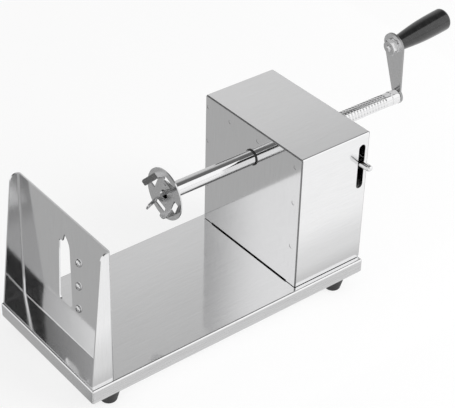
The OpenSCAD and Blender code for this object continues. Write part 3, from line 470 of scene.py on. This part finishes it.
# the inner radius where the plate turns into its flange
def makeFoldFillet():
    low, high = boxOf("blade_bracket")
    sheet, plateFront, radius, sink = [bracketSizes[name] * mm
                                       for name in ("sheet", "plateFront", "foldRadius", "foldSink")]
    fold, flangeTop, middle = low.x + plateFront, low.z + sheet, (low.y + high.y) / 2
    length, side, inset = high.y - low.y - sheet, radius + sink, (radius - sink) / 2
    fillet = makeBlock("foldFillet", (fold - inset, middle, flangeTop + inset), (side, length, side))
    bpy.ops.mesh.primitive_cylinder_add(vertices=bracketSizes["foldSides"], radius=radius,
                                        depth=length * bracketSizes["cutterShare"],
                                        location=(fold - radius, middle, flangeTop + radius),
                                        rotation=(math.radians(90), 0, 0))
    cutter = newPiece("foldCutter")
    applyPlace()
    cutWith(fillet, cutter)
    smoothPiece(fillet, bracketSizes["smooth"])
    return fillet


def makeBracket():
    bracket = sheetPiece("bladePlate", "blade_bracket", bracketSizes["edge"])
    slopeFlange(bracket)
    leanFarSide(bracket)
    bracket = joinPieces([bracket, makeFoldFillet()], "bladePlate")
    finishPiece(bracket, "frame", bracketSteel, "sheet_steel", "blade_bracket")


makeBracket()
blade = sheetPiece("bladeStrip", "slicing_blade", bladeSizes["edge"], segments=1)
finishPiece(blade, "frame", bladeSteel, "blade_steel", "slicing_blade")

# domed screws with a crossed slot, each turned a little further than the last
bladeScrew = {"y": 49.0, "z": 65.8, "step": 24.4, "lean": 3.9, "shank": 2.0, "head": 3.6, "dome": 2.3,
              "rim": 0.35, "tip": 0.15, "domeSteps": 6, "length": 6.5, "slot": 0.7, "slotDepth": 1.1,
              "slotReach": 1.25, "slotTurns": (20, 110), "nextTurn": 25, "sides": 32}


def makeBladeScrews():
    s = bladeScrew
    plateFace = boxOf("blade_bracket")[1].x - bracketSizes["sheet"] * mm
    outline = [(s["shank"], -s["length"]), (s["shank"], 0.0), (s["head"], 0.0), (s["head"], s["rim"])]
    for step in range(1, s["domeSteps"]):
        turn = math.radians(90 * step / s["domeSteps"])
        outline.append((s["head"] * math.cos(turn), s["rim"] + (s["dome"] - s["rim"]) * math.sin(turn)))
    outline.append((s["tip"], s["dome"]))
    lean = Matrix.Rotation(math.radians(s["lean"]), 4, 'X')
    screws = []
    for index in (-1, 0, 1):
        screw = turnedPiece("screw", outline, sides=s["sides"])
        for turn in s["slotTurns"]:
            bpy.ops.mesh.primitive_cube_add(size=1, location=(0, 0, s["dome"] * mm))
            cutter = bpy.context.object
            cutter.scale = (s["head"] * s["slotReach"] * mm, s["slot"] * mm, s["slotDepth"] * 2 * mm)
            cutter.rotation_euler = (0, 0, math.radians(turn + s["nextTurn"] * index))
            cutWith(screw, cutter)
        smoothPiece(screw)
        place = layout(0, s["y"], s["z"]) + lean @ Vector((0, 0, index * s["step"] * mm))
        place.x = plateFace
        placePiece(screw, Matrix.Translation(place) @ Matrix.Rotation(math.radians(-90), 4, 'Y'))
        screws.append(screw)
    joined = joinPieces(screws, "bladeScrewSet")
    finishPiece(joined, "frame", fastenerSteel, "fastener_steel", "blade_screws")


makeBladeScrews()
print("bracket and blade done")

# housing: its cover and panels end just above the tray, so that a dark seam shows
housingSizes = {"edge": 0.6, "panelEdge": 0.7, "steps": 3, "seam": 0.6, "flatShare": 0.96}


# painted shade: the panels' rims get a dark steel that stands in for the shade of the gap to the cover
def paintRimShade(panel):
    panel.data.materials.append(rimPaintedShade)
    for face in panel.data.polygons:
        if abs(face.normal.x) < housingSizes["flatShare"]:
            face.material_index = 1


def makeHousing():
    s = housingSizes
    cover = sheetPiece("housingCover", "housing_cover", s["edge"], s["steps"], seam=s["seam"])
    finishPiece(cover, "frame", coverSteel, "sheet_steel", "housing_cover")
    for name, node in (("housingFront", "housing_front_panel"), ("housingBack", "housing_back_panel")):
        panel = sheetPiece(name, node, s["panelEdge"], s["steps"], seam=s["seam"])
        finishPiece(panel, "frame", panelSteel, "panel_steel", node)
        paintRimShade(panel)


makeHousing()

bushSizes = {"bore": 6.7, "mouth": 0.2, "lip": 7.6, "lipStart": 0.6, "lipLength": 1.4, "body": 7.3,
             "length": 14.4, "edge": 0.3, "sides": 64, "rearEdge": 0.3}


def makeBushes():
    s = bushSizes
    front, edge, mouth = s["lipStart"], s["edge"], s["mouth"]
    outline = [(s["bore"], front + mouth), (s["bore"] + mouth, front), (s["lip"] - edge, front)]
    outline += roundCorner(s["lip"] - edge, front + edge, edge, -60, 0, 3)
    outline += [(s["lip"], s["lipLength"]), (s["body"], s["lipLength"]), (s["body"], s["length"] - edge)]
    outline += [(s["body"] - edge, s["length"]), (s["bore"], s["length"])]
    bush = turnedPiece("frontBushing", outline, sides=s["sides"], hollow=True)
    placePiece(bush, alongShaft(boxOf("front_bush")[0].x))
    finishPiece(bush, "frame", bushBlack, "bush_plastic", "front_bush")
    rearBush = sheetPiece("rearBushing", "rear_bush", s["rearEdge"])
    finishPiece(rearBush, "frame", bushBlack, "bush_plastic", "rear_bush")


makeBushes()
print("housing done")

# drive tube, feed thread and stop collar
tubeSizes = {"radius": 6.65, "bore": 4.0, "boreLength": 72.0, "seat": 4.5, "edge": 0.35, "sides": 72}
threadSizes = {"crest": 6.55, "root": 5.85, "pitch": 3.5, "lead": 2.0, "sides": 56, "ringsPerPitch": 12,
               "shares": (0.04, 0.22, 0.8), "fade": 3.0, "rearLead": 7.0, "rearFade": 1.0, "smooth": 60}
collarSizes = {"radius": 6.8, "bore": 3.25, "edge": 0.5, "sides": 64}


def makeTube():
    s = tubeSizes
    length = (tubeHigh.x - tubeLow.x) / mm
    outline = [(s["bore"], 0.0), (s["radius"] - s["edge"], 0.0), (s["radius"], s["edge"])]
    outline += [(s["radius"], length / 2), (s["radius"], length - s["edge"])]
    outline += [(s["radius"] - s["edge"], length), (s["seat"], length)]
    outline += [(s["seat"], s["boreLength"]), (s["bore"], s["boreLength"])]
    tube = turnedPiece("driveTube", outline, sides=s["sides"], hollow=True)
    placePiece(tube, alongShaft(tubeLow.x))
    finishPiece(tube, "shaft", shaftChrome, "shaft_chrome", "drive_tube")


def smoothStep(low, high, value):
    share = min(max((value - low) / (high - low), 0.0), 1.0)
    return share * share * (3 - 2 * share)


# a grid is rolled round the shaft and pressed in along the thread's groove
# shares: where in a pitch the thread starts to rise, is up, and starts to fall again
def makeThread():
    s = threadSizes
    low, high = boxOf("feed_screw")
    length = (high.x - low.x) / mm
    rings = round(length / s["pitch"] * s["ringsPerPitch"])
    bpy.ops.object.select_all(action='DESELECT')
    bpy.ops.mesh.primitive_grid_add(x_subdivisions=s["sides"], y_subdivisions=rings, size=1,
                                    location=(0, 0, 0))
    thread = newPiece("feedThread")
    first, second, third = s["shares"]
    rear = length - s["rearLead"]
    for vertex in thread.data.vertices:
        turn = vertex.co.x + 0.5
        along = (vertex.co.y + 0.5) * length
        phase = ((along - s["lead"]) / s["pitch"] - turn) % 1.0
        rise = smoothStep(first, second, phase) * (1 - smoothStep(third, 1.0, phase))
        rise *= smoothStep(s["lead"], s["lead"] + s["fade"], along)
        rise = max(rise, smoothStep(rear - s["rearFade"], rear, along))
        radius = (s["root"] + (s["crest"] - s["root"]) * rise) * mm
        angle = turn * 2 * math.pi
        vertex.co = (along * mm, radius * math.cos(angle), radius * math.sin(angle))
    bpy.ops.object.mode_set(mode='EDIT')
    closeMesh()
    bpy.ops.object.mode_set(mode='OBJECT')
    placePiece(thread, Matrix.Translation(Vector((low.x, shaftLine.y, shaftLine.z))))
    smoothPiece(thread, s["smooth"])
    finishPiece(thread, "shaft", shaftChrome, "shaft_chrome", "feed_screw")


def makeCollar():
    s = collarSizes
    low, high = boxOf("stop_collar")
    length = (high.x - low.x) / mm
    outline = [(s["bore"], 0.0), (s["radius"] - s["edge"], 0.0), (s["radius"], s["edge"])]
    outline += [(s["radius"], length - s["edge"]), (s["radius"] - s["edge"], length), (s["bore"], length)]
    collar = turnedPiece("shaftCollar", outline, sides=s["sides"], hollow=True)
    placePiece(collar, alongShaft(low.x))
    finishPiece(collar, "carriage", shaftChrome, "shaft_chrome", "stop_collar")


makeTube()
makeThread()
makeCollar()
print("shaft done")

# potato disc
discSizes = {"edge": 0.18}
disc = sheetPiece("potatoDisc", "potato_disc", discSizes["edge"])
finishPiece(disc, "shaft", discSteel, "disc_steel", "potato_disc")

# crank arm: its sheared edges are duller than its two broad faces
gripJoint = jointNamed("grip_spin")
gripAxis = Vector(gripJoint["axis"]).normalized()
gripPlace = Vector(gripJoint["pos_m"])
armSizes = {"edge": 0.3, "half": 1.0, "broadShare": 0.8}


def makeArm():
    s = armSizes
    arm = sheetPiece("crankArm", "crank_arm", s["edge"])
    finishPiece(arm, "shaft", armSteel, "arm_steel", "crank_arm")
    arm.data.materials.append(armEdgeSteel)
    for face in arm.data.polygons:
        if abs(face.normal.dot(gripAxis)) < s["broadShare"] and abs(face.normal.x) < s["broadShare"]:
            face.material_index = 1


# places along the grip's line, from the middle of the arm's sheet
def alongGrip(offset):
    turn = Vector((0, 0, 1)).rotation_difference(gripAxis).to_matrix().to_4x4()
    return Matrix.Translation(gripPlace + gripAxis * offset * mm) @ turn


# swell: pairs of the share of the length and the share of the growth in radius
gripSizes = {"gap": 0.4, "length": 61.0, "start": 7.0, "startRound": 0.6, "full": 10.6, "round": 3.5,
             "bore": 3.05, "sink": 5.05, "sinkRadius": 5.6, "sides": 72, "smooth": 50,
             "swell": [(0.08, 0.1), (0.2, 0.34), (0.35, 0.64), (0.5, 0.85),
                       (0.65, 0.96), (0.8, 1.0), (0.9, 1.0)]}


def makeGrip():
    s = gripSizes
    growth = s["full"] - s["start"]
    outline = [(s["bore"], 0.0)]
    outline += roundCorner(s["start"] - s["startRound"], s["startRound"], s["startRound"], -90, 0, 4)
    outline += [(s["start"] + growth * grown, s["length"] * along) for along, grown in s["swell"]]
    outline += roundCorner(s["full"] - s["round"], s["length"] - s["round"], s["round"], 0, 90, 8)
    outline += [(s["sinkRadius"], s["length"]), (s["sinkRadius"], s["length"] - s["sink"])]
    outline += [(s["bore"], s["length"] - s["sink"])]
    grip = turnedPiece("crankGrip", outline, sides=s["sides"], hollow=True, angle=s["smooth"])
    placePiece(grip, alongGrip(armSizes["half"] + s["gap"]))
    finishPiece(grip, "grip", gripBlack, "grip_plastic", "crank_grip")


washerSizes = {"radius": 7.4, "thick": 1.2, "bore": 3.05, "backEdge": 0.25, "frontEdge": 0.3, "sides": 48}
nutSizes = {"radius": 7.5, "height": 4.6, "bore": 3.05, "mouth": 0.4, "mouthDepth": 0.3, "coneShare": 0.87,
            "coneHeight": 0.9, "sides": 48, "smooth": 25}
boltSizes = {"edge": 0.3}


def makeWasher():
    s = washerSizes
    outline = [(s["bore"], 0.0), (s["radius"] - s["backEdge"], 0.0), (s["radius"], s["backEdge"])]
    outline += [(s["radius"], s["thick"] - s["frontEdge"]), (s["radius"] - s["frontEdge"], s["thick"])]
    outline += [(s["bore"], s["thick"])]
    washer = turnedPiece("gripWasher", outline, sides=s["sides"], hollow=True)
    placePiece(washer, alongGrip(-armSizes["half"] - s["thick"]))
    finishPiece(washer, "shaft", fastenerSteel, "fastener_steel", "grip_washer")


# a turned blank with a cone at each face is trimmed to six sides
def makeNut():
    s = nutSizes
    height, cone = s["height"], s["radius"] * s["coneShare"]
    outline = [(s["bore"], s["mouthDepth"]), (s["bore"] + s["mouth"], 0.0), (cone, 0.0)]
    outline += [(s["radius"], s["coneHeight"]), (s["radius"], height - s["coneHeight"]), (cone, height)]
    outline += [(s["bore"] + s["mouth"], height), (s["bore"], height - s["mouthDepth"])]
    nut = turnedPiece("gripNut", outline, sides=s["sides"], hollow=True)
    bpy.ops.mesh.primitive_cylinder_add(vertices=6, radius=s["radius"] * mm, depth=height * 2 * mm,
                                        location=(0, 0, height / 2 * mm))
    cutWith(nut, bpy.context.object, 'INTERSECT')
    smoothPiece(nut, s["smooth"])
    placePiece(nut, alongGrip(-armSizes["half"] - washerSizes["thick"] - height))
    finishPiece(nut, "shaft", fastenerSteel, "fastener_steel", "grip_nut")


makeArm()
makeGrip()
makeWasher()
makeNut()
bolt = sheetPiece("gripBolt", "grip_bolt", boltSizes["edge"])
finishPiece(bolt, "shaft", fastenerSteel, "fastener_steel", "grip_bolt")
pin = sheetPiece("releasePin", "release_pin", 0.0)
finishPiece(pin, "lever", shaftChrome, "shaft_chrome", "release_pin")
print("disc, crank and pin done")

# pieces that keep the solid's own shape
keptPieces = [
    (fastenerSteel, ["foot_screws", "foot_nuts", "blade_nuts", "housing_screws", "housing_nuts",
                     "rear_bush_screws", "lever_pivot_pin", "bracket_rivets", "half_nut_screw",
                     "release_pin_rivet", "disc_rivets", "tube_pin"]),
    (innerSteel, ["lever_bracket", "spring_shelf", "release_lever", "screw_dowel", "end_stud"]),
    (springSteel, ["lever_pivot_clip", "lever_spring"]),
    (bushBlack, ["front_bush_ring", "lever_spacers"]),
    (discSteel, ["disc_hub"]),
    (nutBrass, ["half_nut"])]

for material, nodes in keptPieces:
    for node in nodes:
        piece = frame["nodes"][node]
        piece.data.materials.clear()
        piece.data.materials.append(material)

# camera, at the photograph's place in the tray's layout
cameraSizes = {"place": (-457.85, -727.37, 795.96), "azimuth": -39.094, "elevation": 35.5, "roll": 1.501,
               "focalPixels": 1457.0, "imageWidth": 455, "filmWidth": 36.0, "farLimit": 50}


def makeCamera():
    s = cameraSizes
    data = bpy.data.cameras.new("photoCamera")
    camera = bpy.data.objects.new("photoCamera", data)
    bpy.context.scene.collection.objects.link(camera)
    data.sensor_fit = 'HORIZONTAL'
    data.sensor_width = s["filmWidth"]
    data.lens = s["focalPixels"] / s["imageWidth"] * s["filmWidth"]
    data.clip_end = s["farLimit"]
    turn = Matrix.Rotation(math.radians(s["azimuth"]), 4, 'Z')
    tip = Matrix.Rotation(math.radians(90 - s["elevation"]), 4, 'X')
    roll = Matrix.Rotation(math.radians(s["roll"]), 4, 'Z')
    camera.matrix_world = Matrix.Translation(layout(*s["place"])) @ turn @ tip @ roll
    bpy.context.scene.camera = camera


makeCamera()

# studio: pale floor, one soft lamp, and cards that polished metal alone sees
seenRays = ("Is Camera Ray", "Is Glossy Ray", "Is Transmission Ray")
floorSizes = {"side": 40.0, "tone": (0.92, 0.92, 0.92, 1), "roughness": 0.9,
              "glow": 1.04, "glowShare": 0.75}
lampSizes = {"place": (0.95, -1.3, 1.1), "aim": (0, 0, 0.1), "size": 1.5, "power": 30}
roomSizes = {"softTone": (0.9, 0.9, 0.9, 1), "softStrength": 0.55,
             "white": (1, 1, 1, 1), "whiteStrength": 1.0}


# 1 for what the camera sees, straight, in a mirror or through glass, and 0 for soft light
def seenDirectly(tree):
    path = tree.nodes.new("ShaderNodeLightPath")
    total = path.outputs[seenRays[0]]
    for ray in seenRays[1:]:
        add = tree.nodes.new("ShaderNodeMath")
        add.use_clamp = True
        tree.links.new(total, add.inputs[0])
        tree.links.new(path.outputs[ray], add.inputs[1])
        total = add.outputs["Value"]
    return total


def mixShaders(tree, share, first, second, output):
    mix = tree.nodes.new("ShaderNodeMixShader")
    tree.links.new(share, mix.inputs["Fac"])
    tree.links.new(first, mix.inputs[1])
    tree.links.new(second, mix.inputs[2])
    tree.links.new(mix.outputs["Shader"], tree.nodes[output].inputs["Surface"])


def makeFloor():
    s = floorSizes
    bpy.ops.object.select_all(action='DESELECT')
    bpy.ops.mesh.primitive_plane_add(size=s["side"], location=(0, 0, 0))
    floor = newPiece("studioFloor")
    material, tree, shader = newMaterial("paleFloor")
    shader.inputs["Base Color"].default_value = s["tone"]
    shader.inputs["Roughness"].default_value = s["roughness"]
    glow = tree.nodes.new("ShaderNodeEmission")
    glow.inputs["Strength"].default_value = s["glow"]
    share = tree.nodes.new("ShaderNodeMath")
    share.operation = 'MULTIPLY'
    share.inputs[1].default_value = s["glowShare"]
    tree.links.new(seenDirectly(tree), share.inputs[0])
    mixShaders(tree, share.outputs["Value"], shader.outputs["BSDF"], glow.outputs["Emission"],
               "Material Output")
    floor.data.materials.append(material)


def makeWorld():
    s = roomSizes
    world = bpy.data.worlds.new("studioWorld")
    bpy.context.scene.world = world
    world.use_nodes = True
    tree = world.node_tree
    soft = tree.nodes["Background"]
    soft.inputs["Color"].default_value = s["softTone"]
    soft.inputs["Strength"].default_value = s["softStrength"]
    white = tree.nodes.new("ShaderNodeBackground")
    white.inputs["Color"].default_value = s["white"]
    white.inputs["Strength"].default_value = s["whiteStrength"]
    mixShaders(tree, seenDirectly(tree), soft.outputs["Background"], white.outputs["Background"],
               "World Output")


# the lamp's own glare stays out of the metal, the soft box card stands in for it
def makeLamp():
    s = lampSizes
    data = bpy.data.lights.new("softBox", 'AREA')
    data.shape = 'SQUARE'
    data.size = s["size"]
    data.energy = s["power"]
    lamp = bpy.data.objects.new("softBox", data)
    bpy.context.scene.collection.objects.link(lamp)
    lamp.location = s["place"]
    lamp.visible_glossy = False
    lamp.rotation_euler = (Vector(s["aim"]) - Vector(s["place"])).to_track_quat('-Z', 'Y').to_euler()


# tilt: how far a card is tipped from level, then turned about the upright line
# across and up: pairs of place along that side, from 0 to 1, and brightness; blend joins the two
studioCards = {
    # painted shadow of the object on the floor behind it; only polished metal sees this card
    "farFloorShadow": {"middle": (-0.0715, 0.379, 0.002), "tilt": (0, 0), "size": (1.0, 0.61), "blend": 'MAXIMUM',
                 "across": [(0.0, 1.0), (0.22, 0.44), (0.84, 0.44), (1.0, 1.0)],
                 "up": [(0.0, 0.44), (0.5, 0.44), (1.0, 1.0)]},
    # painted shadow on the floor in front of the blade's end, with a darker patch nearer the front; only
    # polished metal sees this card
    "leftFloorShadow": {"middle": (-0.3965, -0.056, 0.002), "tilt": (0, 0), "size": (0.35, 0.26),
                  "blend": 'MAXIMUM', "across": [(0.0, 1.0), (0.45, 0.0), (1.0, 0.0)],
                  "up": [(0.0, 1.0), (0.2, 0.22), (0.45, 0.24), (0.6, 0.42), (1.0, 0.44)]},
    # painted shadow on the floor close to the near side; only polished metal sees this card
    "nearFloorShadow": {"middle": (-0.036, -0.111, 0.002), "tilt": (0, 0), "size": (0.5, 0.09), "blend": 'MAXIMUM',
                  "across": [(0.0, 1.0), (0.08, 0.35), (0.92, 0.35), (1.0, 1.0)],
                  "up": [(0.0, 1.0), (0.53, 0.8), (0.76, 0.62), (1.0, 0.82)]},
    # back of the room: bright at the far left, dark in the middle, grey on the right
    "backLeft": {"middle": (-1.146, 1.534, 1.0), "tilt": (90, 0), "size": (0.49, 2.0),
                 "across": [(0.0, 1.0), (0.14, 1.0), (0.47, 0.46), (0.68, 0.42), (0.96, 0.06), (1.0, 0.06)]},
    "backRight": {"middle": (0.7395, 1.534, 1.0), "tilt": (90, 0), "size": (3.281, 2.0), "blend": 'MULTIPLY',
                  "across": [(0.0, 0.06), (0.345, 0.06), (0.46, 0.64), (0.6, 0.69), (1.0, 0.69)],
                  "up": [(0.0, 1.0), (0.68, 1.0), (0.84, 0.82), (1.0, 0.6)]},
    # dark roof, which the upper side of round parts shows
    "darkRoof": {"middle": (0.4, 0.25, 2.1), "tilt": (0, 0), "size": (4.2, 2.56), "blend": 'MAXIMUM',
                 "across": [(0.0, 0.15), (1.0, 0.15)], "up": [(0.0, 0.15), (0.6, 0.15), (1.0, 0.45)]},
    # the dark side of the room, behind the camera
    "cameraCorner": {"middle": (-0.705, -0.825, 0.854), "tilt": (54.5, -39), "size": (0.7, 0.6),
                     "blend": 'MAXIMUM', "across": [(0.0, 1.0), (0.12, 0.02), (0.88, 0.02), (1.0, 1.0)],
                     "up": [(0.0, 1.0), (0.12, 0.02), (0.88, 0.02), (1.0, 1.0)]},
    "softBoxFront": {"middle": lampSizes["place"], "tilt": (58.2, 36), "size": (1.5, 1.5), "strength": 1.15,
                     "across": [(0.0, 1.0), (1.0, 1.0)]}}


def cardRamp(tree, value, length, stops):
    along = carryOver(tree, value, (-length / 2, length / 2))
    return addRamp(tree, along, [(place, (bright, bright, bright)) for place, bright in stops], 'EASE')


def makeCard(name, sizes):
    width, height = sizes["size"]
    bpy.ops.object.select_all(action='DESELECT')
    bpy.ops.mesh.primitive_plane_add(size=1, location=(0, 0, 0))
    card = newPiece(name)
    card.scale = (width, height, 1)
    applyPlace()
    card.location = sizes["middle"]
    card.rotation_euler = (math.radians(sizes["tilt"][0]), 0, math.radians(sizes["tilt"][1]))
    material, tree, shader = newMaterial(name)
    tree.nodes.remove(shader)
    split = tree.nodes.new("ShaderNodeSeparateXYZ")
    tree.links.new(tree.nodes.new("ShaderNodeTexCoord").outputs["Object"], split.inputs["Vector"])
    result = cardRamp(tree, split.outputs["X"], width, sizes["across"])
    if "up" in sizes:
        join = tree.nodes.new("ShaderNodeMath")
        join.operation = sizes["blend"]
        tree.links.new(result, join.inputs[0])
        tree.links.new(cardRamp(tree, split.outputs["Y"], height, sizes["up"]), join.inputs[1])
        result = join.outputs["Value"]
    glow = tree.nodes.new("ShaderNodeEmission")
    glow.inputs["Strength"].default_value = sizes.get("strength", 1.0)
    tree.links.new(result, glow.inputs["Color"])
    tree.links.new(glow.outputs["Emission"], tree.nodes["Material Output"].inputs["Surface"])
    card.data.materials.append(material)
    card.visible_camera = False
    card.visible_diffuse = False
    card.visible_shadow = False
    card.visible_transmission = False


makeFloor()
makeWorld()
makeLamp()
for name, sizes in studioCards.items():
    makeCard(name, sizes)
bpy.context.scene.view_settings.view_transform = 'Standard'
print("studio done")
